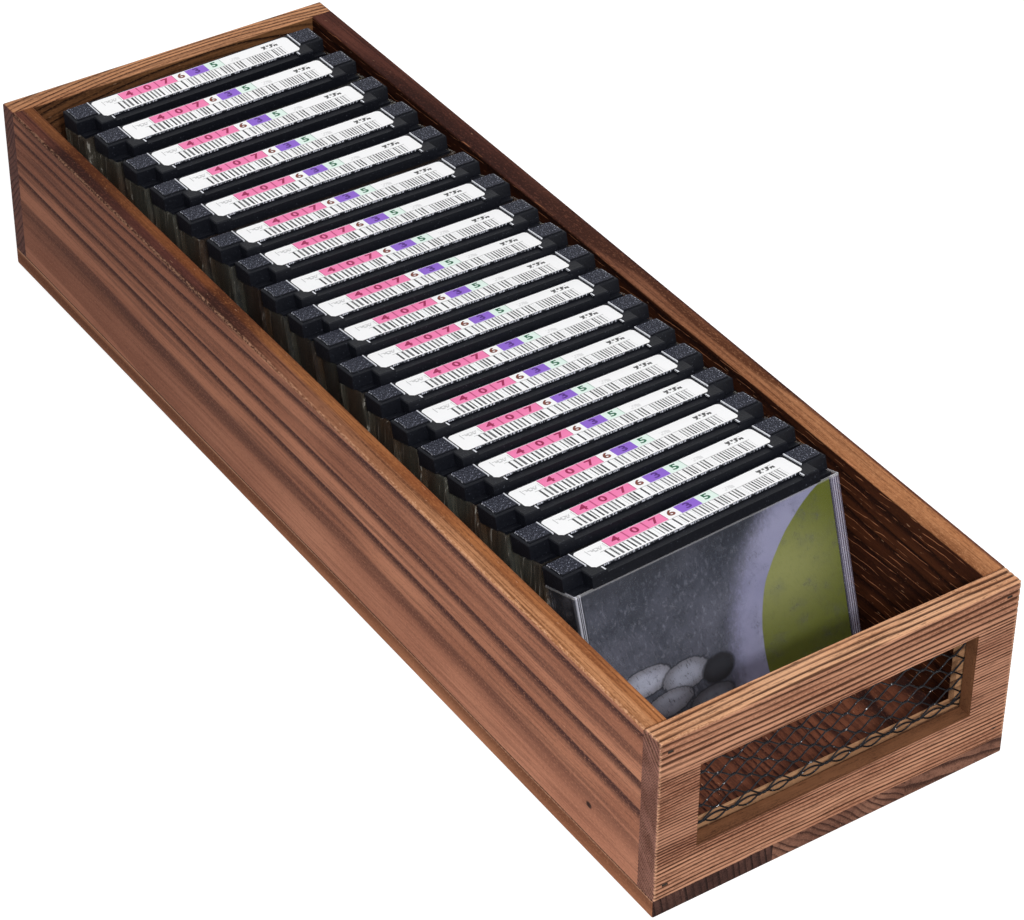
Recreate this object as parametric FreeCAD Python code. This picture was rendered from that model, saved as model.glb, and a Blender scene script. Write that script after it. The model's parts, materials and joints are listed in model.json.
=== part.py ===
import FreeCAD, Part
import math
import os

# Cassette storage drawer: an open wooden box with a netting window in its front panel.
# It holds a leaning row of cassettes, each in its own clear case, and each lifts out by itself.
# Millimetres. The origin is the middle of the underside. X points right, Y to the back and Z up.

Vector = FreeCAD.Vector
UP = Vector(0, 0, 1)
ACROSS = Vector(1, 0, 0)

# The case: a clear sleeve, open at the top
case_width = 109.0
case_thickness = 15.8
case_height = 63.9
case_wall = 1.0
case_corner_cut = 0.5

# The cassette's body inside the case, and the printed card in front of it
body_clearance = 0.15
body_corner_cut = 1.3
hub_radius = 5.2
hub_sides = 12
hub_spacing = 42.5
hub_height = 33.0
tape_edge_width = 66.0
tape_edge_height = 14.5
tape_edge_taper = 4.0
tape_edge_rise = 1.1
card_thickness = 0.35
card_side_margin = 2.7
card_top_margin = 0.8

# The cassette's head, which closes the case; its deck slopes down to the front and carries the label
head_front_height = 4.35
head_slope_deg = 8.0
head_end_inset = 0.3
head_chamfer = 0.35
corner_notch_width = 7.6
corner_notch_depth = 5.6
label_depth = 12.0
label_recess = 0.5
label_corner_cut = 1.2
label_back_margin = 0.6
band_depth = 2.9
band_drop = 0.9
block_overlap = 2.9
pad_width = 8.8
pad_depth = 8.8
pad_rise = 0.5
pad_gap = 1.2
pad_end_inset = 1.0

# The row of cassettes, from the back of the drawer to the front, and how far each lifts
cassette_count = 18
standing_clearance = 0.2
row_clearance = 0.2
lift_height = 75.0
side_play = 6.8
front_room = 44.4
back_room = 14.1
leans_deg = [8.4, 9.6, 11.0, 12.2, 13.2, 14.6, 15.0, 15.8, 16.3,
             16.5, 16.5, 16.5, 16.5, 16.5, 16.5, 16.5, 16.5, 17.0]
turns_deg = [1.3, 1.0, 0.6, 0.2, -0.2, -0.6, -0.9, -1.2, -1.2,
             -1.1, -0.8, -0.6, -0.2, 0.0, 0.5, 1.3, 2.1, 2.9]
shift_shares = [-0.30, -0.02, 0.04, 0.07, 0.07, 0.17, 0.36, 0.26, 0.32,
                0.36, 0.15, 0.10, 0.0, -0.07, 0.0, 0.02, 0.15, 0.12]
spread_shares = [0.18, 0.20, 0.14, 0.09, 0.12, 0.03, 0.07, 0.02, 0.0,
                 0.02, 0.10, 0.02, 0.01, 0.0, 0.0, 0.0, 0.0]

# The boards
side_board_thickness = 8.7
end_board_thickness = 8.6
base_thickness = 7.3
wall_height = 65.4
edge_radius = 0.7
stave_shares = [0.33, 0.38, 0.29]

# The window in the front panel, with a rebate behind it for the netting and its battens
window_margin = 15.9
rebate_width = 6.0
rebate_depth = 3.4
batten_reveal = 2.0
batten_clearance = 0.1

# The netting: hexagonal cells whose wires twist together along level stretches
netting_thickness = 0.8
netting_overlap = 2.6
netting_rise = 0.4
wire_width = 0.7
cell_width = 12.3
cell_height = 7.0
twist_length = 1.6

# T-headed brads, sunk a little below the wood, and headless pins in the battens
brad_width = 1.25
brad_gauge = 1.0
brad_head_width = 2.2
brad_head_height = 0.9
brad_sink = 0.3
nail_clearance = 0.05
corner_brad_length = 22.0
base_brad_length = 15.0
brad_edge_margin = 5.0
base_brad_inset = 32.0
base_brads_per_side = 5
pin_gauge = 0.8
pin_length = 5.8
pin_offset = 4.3
long_batten_pin_inset = 14.0
short_batten_pin_inset = 7.0

# How far a cutting shape runs past what it cuts, and how near two values count as one
overrun = 1.0
tolerance = 0.0001

# Sizes that follow from the ones above
head_width = case_width - 2 * head_end_inset
label_width = head_width - 2 * (pad_end_inset + pad_width + pad_gap)
head_slope = math.radians(head_slope_deg)
deck_depth = case_thickness / math.cos(head_slope)
head_underside = case_height + body_clearance
deck_back = head_underside + head_front_height + case_thickness * math.tan(head_slope)
cassette_height = deck_back + pad_rise
inner_width = case_width + 2 * side_play
tray_width = inner_width + 2 * side_board_thickness
rim = base_thickness + wall_height
wood_radius = min(edge_radius, base_thickness / 3, side_board_thickness / 3, end_board_thickness / 3)


def spacing(index):
    """How far apart two neighbours' feet are along the drawer: they clear each other, lifted or not."""
    lean = math.radians(leans_deg[index])
    fan = math.radians(max(0, leans_deg[index + 1] - leans_deg[index]))
    turn = math.radians(abs(turns_deg[index + 1] - turns_deg[index]))
    closing = (cassette_height + lift_height) * math.sin(fan)
    wedge = case_width / 2 * math.tan(turn) * math.cos(lean)
    spread = spread_shares[index] * case_thickness
    return (case_thickness + row_clearance + closing + wedge + spread) / math.cos(lean)


row_length = sum(spacing(index) for index in range(cassette_count - 1))
foot_depth = case_thickness * math.cos(math.radians(leans_deg[-1]))
head_reach = cassette_height * math.sin(math.radians(leans_deg[0]))
inner_length = front_room + foot_depth + row_length + head_reach + back_room
tray_length = inner_length + 2 * end_board_thickness
front_face = -tray_length / 2
back_face = tray_length / 2
panel_back = front_face + end_board_thickness
window_width = tray_width - 2 * window_margin
window_height = wall_height - 2 * window_margin
window_bottom = base_thickness + window_margin
window_top = window_bottom + window_height
netting_front = panel_back - rebate_depth
batten_front = netting_front + netting_thickness


def box(x, y, z):
    """A box from its three (low, high) pairs."""
    return Part.makeBox(x[1] - x[0], y[1] - y[0], z[1] - z[0], Vector(x[0], y[0], z[0]))


def mirrored_pair(half):
    """The (low, high) pair of something that lies evenly about zero."""
    return (-half, half)


def lies_on(edge, planes):
    """True where an edge lies on every (axis, value) plane."""
    return all(abs(vertex.Point[axis] - value) < tolerance
               for vertex in edge.Vertexes for axis, value in planes)


def picked_edges(shape, choices):
    """The edges of a shape that lie on all the planes of any choice."""
    return [edge for edge in shape.Edges if any(lies_on(edge, planes) for planes in choices)]


def upright_face(points):
    """A flat face through (x, z) points, standing in the plane y = 0."""
    corners = [Vector(x, 0, z) for x, z in points]
    return Part.Face(Part.makePolygon(corners + corners[:1]))


# Brads and pins, each drawn pointing up with its outer end at the origin

def brad(length, allowance=0.0, mouth=0.0):
    """A T-headed brad. For its hole, the allowance grows it on every side and the mouth lengthens it."""
    half_gauge = brad_gauge / 2 + allowance
    head = box(mirrored_pair(brad_head_width / 2 + allowance), mirrored_pair(half_gauge),
               (-mouth, brad_head_height + allowance))
    shank = box(mirrored_pair(brad_width / 2 + allowance), mirrored_pair(half_gauge),
                (0, length + allowance))
    return head.fuse(shank).removeSplitter()


def pin(length, allowance=0.0, mouth=0.0):
    """A headless pin, grown in the same way for its hole."""
    side = mirrored_pair(pin_gauge / 2 + allowance)
    return box(side, side, (-mouth, length + allowance))


def driven(nail, place, heading):
    """A nail put at a place and pointed along a heading."""
    placed = nail.copy()
    placed.Placement = FreeCAD.Placement(place, FreeCAD.Rotation(UP, heading))
    return placed


def nails_and_holes(shape_of, length, mouth, places, heading):
    """The nails at a list of places, as one group, and the holes that they need."""
    nails = [driven(shape_of(length), place, heading) for place in places]
    hole = shape_of(length, nail_clearance, mouth)
    return Part.Compound(nails), Part.Compound([driven(hole, place, heading) for place in places])


def corner_brad_places(face, inwards):
    """Two brads in the end grain of each side board, through an end board's outer face."""
    x = tray_width / 2 - side_board_thickness / 2
    heights = (base_thickness + brad_edge_margin, rim - brad_edge_margin)
    return [Vector(side * x, face + inwards * brad_sink, z) for side in (-1, 1) for z in heights]


def base_brad_places():
    """A line of brads under each side board, and two under each end board."""
    x = tray_width / 2 - side_board_thickness / 2
    y = back_face - base_brad_inset
    step = 2 * y / (base_brads_per_side - 1)
    sides = [Vector(side * x, -y + number * step, brad_sink)
             for side in (-1, 1) for number in range(base_brads_per_side)]
    end = back_face - end_board_thickness / 2
    ends = [Vector(side * tray_width / 4, way * end, brad_sink) for side in (-1, 1) for way in (-1, 1)]
    return sides + ends


def batten_pin_places():
    """Three pins in each long batten and two in each short one, outside the netting's edge."""
    across = window_width / 2 - long_batten_pin_inset
    outside = window_width / 2 + pin_offset
    long_ones = [Vector(x, panel_back, z) for x in (-across, 0, across)
                 for z in (window_bottom - pin_offset, window_top + pin_offset)]
    short_ones = [Vector(side * outside, panel_back, z) for side in (-1, 1)
                  for z in (window_bottom + short_batten_pin_inset, window_top - short_batten_pin_inset)]
    return long_ones + short_ones


BACKWARDS = Vector(0, 1, 0)
FORWARDS = Vector(0, -1, 0)
mouth = brad_sink + overrun
front_brads, front_brad_holes = nails_and_holes(
    brad, corner_brad_length, mouth, corner_brad_places(front_face, 1), BACKWARDS)
back_brads, back_brad_holes = nails_and_holes(
    brad, corner_brad_length, mouth, corner_brad_places(back_face, -1), FORWARDS)
base_brads, base_brad_holes = nails_and_holes(
    brad, base_brad_length, mouth, base_brad_places(), UP)
batten_pins, batten_pin_holes = nails_and_holes(
    pin, pin_length, overrun, batten_pin_places(), FORWARDS)


# The boards of the box

def rounded_board(x, y, z, choices):
    """A board with its worn edges rounded."""
    board = box(x, y, z)
    return board.makeFillet(wood_radius, picked_edges(board, choices))


def base_staves():
    """The base, glued up from staves that run from front to back under all four walls."""
    x = mirrored_pair(tray_width / 2)
    y = (front_face, back_face)
    corners = [((0, side), (1, end)) for side in x for end in y]
    lower_edges = [((2, 0), (0, side)) for side in x] + [((2, 0), (1, end)) for end in y]
    slab = rounded_board(x, y, (0, base_thickness), corners + lower_edges).cut(base_brad_holes)
    staves = []
    left = -tray_width / 2
    for share in stave_shares:
        right = left + share * tray_width
        strip = box((left, right), (front_face - overrun, back_face + overrun),
                    (-overrun, base_thickness + overrun))
        staves.append(slab.common(strip))
        left = right
    return staves


def side_board(side):
    """A side board between the two end boards: side is -1 on the left and 1 on the right."""
    outer = side * tray_width / 2
    inner = side * inner_width / 2
    x = (min(outer, inner), max(outer, inner))
    y = (panel_back, back_face - end_board_thickness)
    board = rounded_board(x, y, (base_thickness, rim), [((2, rim), (0, outer)), ((2, rim), (0, inner))])
    return board.cut(front_brad_holes).cut(back_brad_holes).cut(base_brad_holes)


def end_board(outer, inner):
    """A full-width board that covers the side boards' ends."""
    x = mirrored_pair(tray_width / 2)
    corners = [((1, outer), (0, side)) for side in x]
    top_edges = [((2, rim), (0, side)) for side in x] + [((2, rim), (1, face)) for face in (outer, inner)]
    board = rounded_board(x, (min(outer, inner), max(outer, inner)), (base_thickness, rim),
                          corners + top_edges)
    return board.cut(base_brad_holes)


def back_board():
    return end_board(back_face, back_face - end_board_thickness).cut(back_brad_holes)


def front_panel():
    """The front board, with its window and the rebate for the netting and battens."""
    board = end_board(front_face, panel_back)
    window = box(mirrored_pair(window_width / 2), (front_face - overrun, panel_back + overrun),
                 (window_bottom, window_top))
    rebate = box(mirrored_pair(window_width / 2 + rebate_width), (netting_front, panel_back + overrun),
                 (window_bottom - rebate_width, window_top + rebate_width))
    return board.cut(window.fuse(rebate)).cut(front_brad_holes).cut(batten_pin_holes)


def battens():
    """Four strips that lie in the rebate and hold the netting against the panel."""
    y = (batten_front, panel_back)
    end = window_width / 2 + rebate_width - batten_clearance
    lip = window_width / 2 - batten_reveal
    low = (window_bottom - rebate_width + batten_clearance, window_bottom + batten_reveal)
    high = (window_top - batten_reveal, window_top + rebate_width - batten_clearance)
    between = (low[1] + batten_clearance, high[0] - batten_clearance)
    strips = {
        "batten_bottom": box(mirrored_pair(end), y, low),
        "batten_top": box(mirrored_pair(end), y, high),
        "batten_left": box((-end, -lip), y, between),
        "batten_right": box((lip, end), y, between),
    }
    return {name: strip.cut(batten_pin_holes) for name, strip in strips.items()}


# The netting

def netting_cell():
    """One opening of the netting, less half a wire at its slopes and a whole one at its twists."""
    run = cell_width / 2 - twist_length
    rise = cell_height / 2
    slope = math.hypot(run, rise)
    side_x = cell_width / 2 - twist_length / 2 - wire_width / 2 * slope / rise
    top_z = rise - wire_width
    top_x = side_x - top_z * run / rise
    return upright_face([(-side_x, 0), (-top_x, top_z), (top_x, top_z),
                         (side_x, 0), (top_x, -top_z), (-top_x, -top_z)])


def netting():
    """The sheet of netting: its lower edge stands on the window's sill, and the others are clamped."""
    half = window_width / 2 + netting_overlap
    low = window_bottom + netting_rise
    high = window_top + netting_overlap
    sheet = upright_face([(-half, low), (half, low), (half, high), (-half, high)])
    field = upright_face([(wire_width - half, low + wire_width), (half - wire_width, low + wire_width),
                          (half - wire_width, high - wire_width), (wire_width - half, high - wire_width)])
    cell = netting_cell()
    cells = []
    columns = math.ceil(half / cell_width)
    rows = math.ceil(2 * (high - low) / cell_height)
    for row in range(rows + 1):
        offset = (row + 1) % 2 / 2
        for column in range(-columns - 1, columns + 1):
            opening = cell.copy()
            opening.translate(Vector((column + offset) * cell_width, 0, low + row * cell_height / 2))
            cells.append(opening)
    holed = sheet.cut(field.common(Part.Compound(cells))).Faces[0]
    holed.translate(Vector(0, netting_front, 0))
    return holed.extrude(Vector(0, netting_thickness, 0))


# A cassette in its case, drawn upright: its back face lies in y = 0 and it stands on z = 0

def case():
    """The clear case: a bottom and four thin walls."""
    x = mirrored_pair(case_width / 2)
    y = (-case_thickness, 0)
    outside = box(x, y, (0, case_height))
    corners = [((0, side), (1, face)) for side in x for face in y]
    outside = outside.makeChamfer(min(case_corner_cut, case_wall), picked_edges(outside, corners))
    inside = box(mirrored_pair(case_width / 2 - case_wall), (case_wall - case_thickness, -case_wall),
                 (case_wall, case_height + overrun))
    return outside.cut(inside)


def card():
    """The printed card, which stands between the cassette and the case's front wall."""
    back = -case_thickness + case_wall + body_clearance + card_thickness
    return box(mirrored_pair(case_width / 2 - case_wall - card_side_margin), (back - card_thickness, back),
               (case_wall + body_clearance, case_height - card_top_margin))


def cassette_body():
    """The shell in the case, with its two hub bores and the thicker edge where the tape runs."""
    half = case_width / 2 - case_wall - body_clearance
    front = -case_thickness + case_wall + 2 * body_clearance + card_thickness
    back = -case_wall - body_clearance
    low = case_wall + body_clearance
    shell = box(mirrored_pair(half), (front + tape_edge_rise, back - tape_edge_rise),
                (low, head_underside))
    corners = [((0, side), (2, low)) for side in (-half, half)]
    shell = shell.makeChamfer(body_corner_cut, picked_edges(shell, corners))
    top_half = tape_edge_width / 2 - tape_edge_taper
    tape_edge = upright_face([(-tape_edge_width / 2, low), (tape_edge_width / 2, low),
                              (top_half, low + tape_edge_height), (-top_half, low + tape_edge_height)])
    tape_edge.translate(Vector(0, front, 0))
    shell = shell.fuse(tape_edge.extrude(Vector(0, back - front, 0)))
    for side in (-1, 1):
        angles = [2 * math.pi * (number + 0.5) / hub_sides for number in range(hub_sides)]
        bore = upright_face([(side * hub_spacing / 2 + hub_radius * math.cos(angle),
                              low + hub_height + hub_radius * math.sin(angle)) for angle in angles])
        shell = shell.cut(bore.extrude(Vector(0, -case_thickness, 0)))
    return shell


def deck_height(y):
    """The height of the head's sloping deck at a depth."""
    return deck_back + y * math.tan(head_slope)


def laid_on_deck(shape):
    """A feature drawn level, with the deck as z = 0 and its back edge in y = 0, laid on the sloping deck."""
    laid = shape.copy()
    laid.Placement = FreeCAD.Placement(Vector(0, 0, deck_back), FreeCAD.Rotation(ACROSS, head_slope_deg))
    return laid


def label_seat():
    """The recess in the deck that the label lies in, with its corners cut off."""
    x = mirrored_pair(label_width / 2)
    y = (-label_back_margin - label_depth, -label_back_margin)
    seat = box(x, y, (-label_recess, overrun))
    corners = [((0, side), (1, face)) for side in x for face in y]
    return seat.makeChamfer(min(label_corner_cut, label_depth / 3), picked_edges(seat, corners))


def front_band():
    """The low band along the deck's front edge, between the blocks at its ends."""
    return box(mirrored_pair(label_width / 2 - block_overlap),
               (-deck_depth - overrun, -deck_depth + band_depth), (-band_drop, overrun))


def grip_pad(side):
    """The raised pad beside one end of the label."""
    inner = side * (label_width / 2 + pad_gap)
    outer = inner + side * pad_width
    pad = box((min(inner, outer), max(inner, outer)), (-label_back_margin - pad_depth, -label_back_margin),
              (-label_recess, pad_rise))
    return pad.makeChamfer(min(head_chamfer, pad_rise / 2), picked_edges(pad, [((2, pad_rise),)]))


def cassette_head():
    """The head: a wedge, notched at its front corners, with its label seat, front band and grip pads."""
    end = head_width / 2
    profile = [Vector(-end, y, z) for y, z in
               ((0, head_underside), (0, deck_height(0)), (-case_thickness, deck_height(-case_thickness)),
                (-case_thickness, head_underside))]
    head = Part.Face(Part.makePolygon(profile + profile[:1])).extrude(Vector(2 * end, 0, 0))
    for side in (-1, 1):
        inner = side * (end - corner_notch_width)
        outer = side * (end + overrun)
        notch = box((min(inner, outer), max(inner, outer)),
                    (-case_thickness - overrun, -case_thickness + corner_notch_depth),
                    (head_underside - overrun, deck_back + overrun))
        head = head.cut(notch)
    deck_edges = [edge for edge in head.Edges
                  if all(abs(vertex.Z - deck_height(vertex.Y)) < tolerance for vertex in edge.Vertexes)]
    head = head.makeChamfer(head_chamfer, deck_edges)
    head = head.cut(laid_on_deck(front_band())).cut(laid_on_deck(label_seat()))
    for side in (-1, 1):
        head = head.fuse(laid_on_deck(grip_pad(side)))
    return head


def cassette():
    return cassette_body().fuse(cassette_head()).removeSplitter()


def stand(index):
    """Where a cassette stands in the row: a little to one side, a little turned, and leaning back."""
    foot_y = back_face - end_board_thickness - back_room - head_reach - sum(
        spacing(behind) for behind in range(index))
    foot = Vector(shift_shares[index] * side_play, foot_y, base_thickness + standing_clearance)
    turn = FreeCAD.Rotation(UP, turns_deg[index])
    tilt = FreeCAD.Rotation(ACROSS, -leans_deg[index])
    return FreeCAD.Placement(foot, turn.multiply(tilt))


def stood(shape, index):
    placed = shape.copy()
    placed.Placement = stand(index)
    return placed


# Every piece of the drawer under its own name

def all_pieces():
    staves = base_staves()
    pieces = {
        "base_stave_left": staves[0],
        "base_stave_middle": staves[1],
        "base_stave_right": staves[2],
        "left_side_board": side_board(-1),
        "right_side_board": side_board(1),
        "back_board": back_board(),
        "front_panel": front_panel(),
        "netting": netting(),
        "front_brads": front_brads,
        "back_brads": back_brads,
        "base_brads": base_brads,
        "batten_pins": batten_pins,
    }
    pieces.update(battens())
    one_cassette = cassette()
    one_case = case()
    for index in range(cassette_count):
        pieces["cassette_%02d" % (index + 1)] = stood(one_cassette, index)
        pieces["case_%02d" % (index + 1)] = stood(one_case, index)
    pieces["front_card"] = stood(card(), cassette_count - 1)
    return pieces


os.makedirs("parts", exist_ok=True)
for name, shape in all_pieces().items():
    shape.exportStep(os.path.join("parts", name + ".step"))
print("drawer %.1f x %.1f x %.1f mm" % (tray_width, tray_length, rim))
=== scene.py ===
import json
import math

import bmesh
import bpy
from mathutils import Matrix, Vector, noise


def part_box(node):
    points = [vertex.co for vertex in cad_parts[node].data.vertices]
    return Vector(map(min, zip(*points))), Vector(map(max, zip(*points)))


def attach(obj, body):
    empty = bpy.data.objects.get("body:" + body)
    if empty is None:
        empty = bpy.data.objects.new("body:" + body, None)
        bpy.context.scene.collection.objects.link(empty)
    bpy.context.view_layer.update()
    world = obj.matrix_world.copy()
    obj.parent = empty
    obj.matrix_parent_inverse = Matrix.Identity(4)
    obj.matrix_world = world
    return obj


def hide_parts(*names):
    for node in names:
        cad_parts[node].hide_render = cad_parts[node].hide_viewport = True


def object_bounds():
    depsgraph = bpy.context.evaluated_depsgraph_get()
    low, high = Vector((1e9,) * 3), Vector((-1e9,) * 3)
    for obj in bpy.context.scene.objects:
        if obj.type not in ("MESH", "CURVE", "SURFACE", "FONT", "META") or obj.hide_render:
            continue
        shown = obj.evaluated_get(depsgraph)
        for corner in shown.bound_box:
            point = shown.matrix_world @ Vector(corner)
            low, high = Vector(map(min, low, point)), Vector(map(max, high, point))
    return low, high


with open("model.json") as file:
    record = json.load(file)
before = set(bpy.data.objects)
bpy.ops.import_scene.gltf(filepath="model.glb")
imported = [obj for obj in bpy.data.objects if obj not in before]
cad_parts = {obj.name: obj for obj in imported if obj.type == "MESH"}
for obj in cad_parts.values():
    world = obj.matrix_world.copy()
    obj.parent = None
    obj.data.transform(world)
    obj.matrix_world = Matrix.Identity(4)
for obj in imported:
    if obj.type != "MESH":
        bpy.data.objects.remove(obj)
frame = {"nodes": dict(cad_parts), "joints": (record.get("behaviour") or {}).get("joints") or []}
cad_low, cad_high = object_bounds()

# Cassette storage drawer: a netting-fronted wooden box with a leaning row of cased cassettes.
# Sizes are written in millimetres and become metres through MM.

MM = 0.001

# The box
HALF_WIDTH = cad_high.x / MM
HALF_LENGTH = cad_high.y / MM
END_BOARD_THICKNESS = 8.6
RIM = 72.7
BASE_TOP = 7.3
INNER_HALF = 61.3
WINDOW_HALF = 54.1
WINDOW_BOTTOM = 23.2
WINDOW_TOP = 56.8

# The case, as it stands upright before it is put in the row
CASE_THICKNESS = 15.8
CASE_HEIGHT = 63.9
CASE_HALF = 54.5
HEAD_UNDERSIDE = 64.05
HEAD_FRONT_HEIGHT = 4.35

# The cassette's head: everything on it is drawn with its deck as z = 0 and its back edge in y = 0
HEAD_SLOPE = math.radians(8.0)
DECK_BACK = HEAD_UNDERSIDE + HEAD_FRONT_HEIGHT + CASE_THICKNESS * math.tan(HEAD_SLOPE)
DECK_DEPTH = CASE_THICKNESS / math.cos(HEAD_SLOPE)
LABEL_WIDTH = 86.4
LABEL_DEPTH = 12.0
LABEL_BACK = -0.6
LABEL_FRONT = LABEL_BACK - LABEL_DEPTH
LABEL_FLOOR = -0.5
LABEL_CORNER = 1.7
LABEL_THICKNESS = 0.35
LABEL_MARGIN = 0.1
PAD_INNER = 44.4
PAD_WIDTH = 8.8
PAD_FRONT = -9.4
PAD_RISE = 0.5
BAND_DEPTH = 2.9
BAND_BACK = -DECK_DEPTH + BAND_DEPTH
BLOCK_INNER = 40.3

# The head's small trim: a rib on each side of a pad, a tick on each front block, and a lip along the label.
# The inner rib pieces and the ticks are pale plastic that is a painted highlight, and the outer rib pieces
# and the lip carry painted sparkle.
INNER_RIB_WIDTH = 0.42
INNER_RIB_REACH = 0.5
INNER_RIB_SINK = 0.3
OUTER_RIB_WIDTH = 0.30
OUTER_RIB_SETBACK = 1.2
OUTER_RIB_BACK_MARGIN = 0.6
RIB_BACK_MARGIN = 0.1
TICK_WIDTH = 0.75
TICK_SETBACK = 0.35
TICK_RISE = 0.02
LIP_RISE = 0.08
LIP_END_MARGIN = 0.3
LIP_OVERLAP = 0.06
TRIM_SINK = 0.5
TRIM_GAP = 0.02

# The label's plain numbers
FIGURE_SIZE = 4.6
FIGURE_WEIGHT = 0.13
FIGURE_STRETCH = 1.25
INK_THICKNESS = 0.012

# The window's netting
WIRE_RADIUS = 0.29
CELL_WIDTH = 12.3
CELL_HEIGHT = 7.0
TWIST_LENGTH = 2.6
SELVAGE_TWIST_LENGTH = 3.8
SELVAGE_RISE = 2.3
SELVAGE_SAG = 1.9
SELVAGE_ARCH = 1.2
WIRE_END_MARGIN = 0.1
TWIST_STEPS = 6
TWIST_FLATNESS = 0.55
BOW_SHARES = (0.12, 0.3, 0.5, 0.7, 0.88)

# The photograph's camera
CAMERA_PLACE = Vector((-530.5, -819.3, 767.0)) * MM
CAMERA_RIGHT = Vector((0.83305, -0.55315, 0.00690))
CAMERA_FORWARD = Vector((0.44094, 0.65643, -0.61211))
CAMERA_LENS = 121.57
CAMERA_SENSOR = 36.0

LAST_NUMBER = sum(name.startswith("case_") for name in frame["nodes"])
CASSETTE_NUMBERS = range(1, LAST_NUMBER + 1)


# Shader maths

MIX_FACTOR, MIX_FIRST, MIX_SECOND = 0, 6, 7
MIX_RESULT = 2


class Value:
    """A number that varies over a surface. Arithmetic on it adds Math nodes."""

    def __init__(self, finish, socket):
        self.finish = finish
        self.socket = socket

    def maths(self, operation, *values):
        made = self.finish.node("ShaderNodeMath", {"operation": operation}, dict(enumerate(values)))
        return Value(self.finish, made.outputs[0])

    def __add__(self, other):
        return self.maths("ADD", self, other)

    def __radd__(self, other):
        return self.maths("ADD", other, self)

    def __sub__(self, other):
        return self.maths("SUBTRACT", self, other)

    def __rsub__(self, other):
        return self.maths("SUBTRACT", other, self)

    def __mul__(self, other):
        return self.maths("MULTIPLY", self, other)

    def __rmul__(self, other):
        return self.maths("MULTIPLY", other, self)

    def __truediv__(self, other):
        return self.maths("DIVIDE", self, other)

    def __gt__(self, other):
        return self.maths("GREATER_THAN", self, other)

    def __lt__(self, other):
        return self.maths("LESS_THAN", self, other)

    def whole(self):
        return self.maths("FLOOR", self)

    def part(self):
        return self.maths("FRACT", self)

    def size(self):
        return self.maths("ABSOLUTE", self)

    def within(self, low, high):
        """1 between the two limits and 0 outside them."""
        return (self > low) * (self < high)

    def rise(self, low, high):
        """Climbs smoothly from 0 at the first limit to 1 at the second."""
        settings = {"interpolation_type": "SMOOTHSTEP"}
        made = self.finish.node("ShaderNodeMapRange", settings,
                                {"Value": self, "From Min": low, "From Max": high})
        return Value(self.finish, made.outputs["Result"])


class Nodes:
    """A node tree, and the nodes that can be added to it."""

    def __init__(self, tree):
        self.tree = tree

    def node(self, kind, settings=None, inputs=None):
        """A node of a type, with its settings made first and then the values or links of its sockets."""
        made = self.tree.nodes.new(kind)
        for name, value in (settings or {}).items():
            setattr(made, name, value)
        for socket, value in (inputs or {}).items():
            if isinstance(value, Value):
                self.tree.links.new(value.socket, made.inputs[socket])
            else:
                made.inputs[socket].default_value = value
        return made

    def wrap(self, socket):
        return Value(self, socket)

    def seen_plainly(self):
        """1 for what the camera sees, also in a mirror or through glass."""
        path = self.node("ShaderNodeLightPath")
        camera, glossy, through = (self.wrap(path.outputs[name]) for name in
                                   ("Is Camera Ray", "Is Glossy Ray", "Is Transmission Ray"))
        return camera + glossy + through

    def mix(self, factor, first, second, blend="MIX"):
        """Two colours mixed by a factor."""
        made = self.node("ShaderNodeMix", {"data_type": "RGBA", "blend_type": blend})
        for index, value in ((MIX_FACTOR, factor), (MIX_FIRST, first), (MIX_SECOND, second)):
            if isinstance(value, Value):
                self.tree.links.new(value.socket, made.inputs[index])
            elif index == MIX_FACTOR:
                made.inputs[index].default_value = value
            else:
                made.inputs[index].default_value = (*value, 1.0)
        return self.wrap(made.outputs[MIX_RESULT])


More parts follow.
